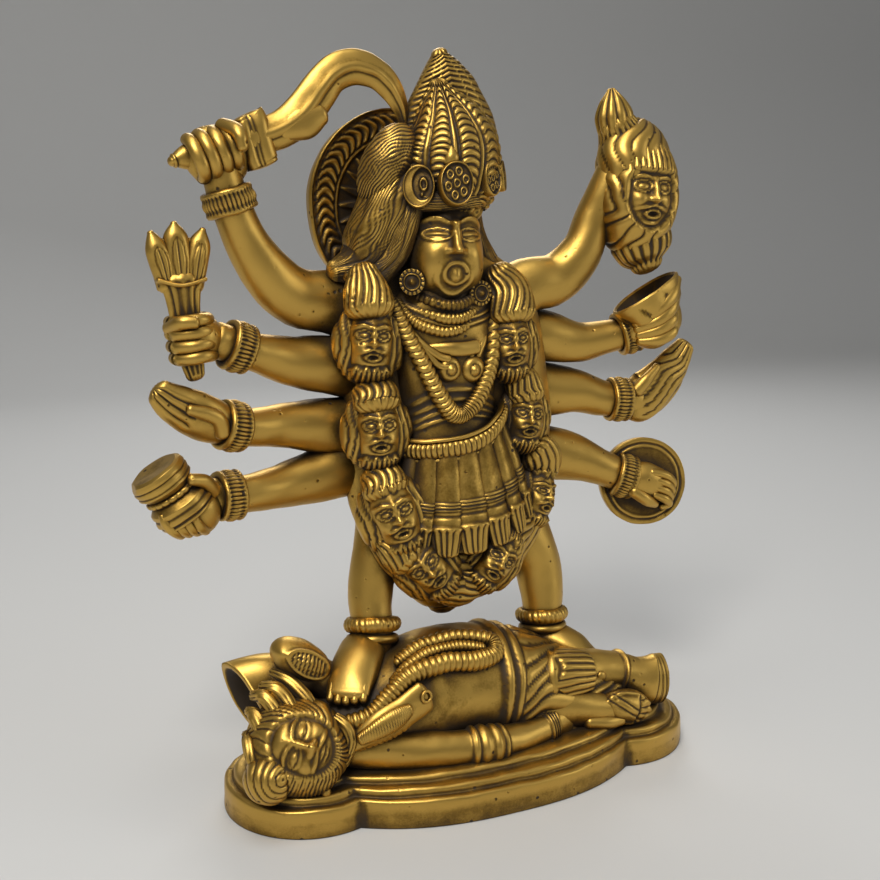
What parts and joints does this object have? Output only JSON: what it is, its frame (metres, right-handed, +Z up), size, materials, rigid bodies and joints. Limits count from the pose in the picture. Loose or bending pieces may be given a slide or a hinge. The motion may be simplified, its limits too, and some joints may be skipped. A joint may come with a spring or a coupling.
{
  "type": "kali figure",
  "caption": "Cast brass many-armed goddess standing on a reclining god, on a lobed plinth, with halo, tall crown and head garland.",
  "frame": {"origin": "middle of the plinth's flat underside", "axes": "+Z up, the figure faces -Y, +X to the viewer's right along the plinth's length"},
  "size_m": [0.1813, 0.067, 0.2107],
  "materials": {
    "cast_brass": "semi-polished cast brass, dark patina in the recesses"
  },
  "bodies": {
    "root": {"kali_figure": "cast_brass"}
  },
  "joints": []
}
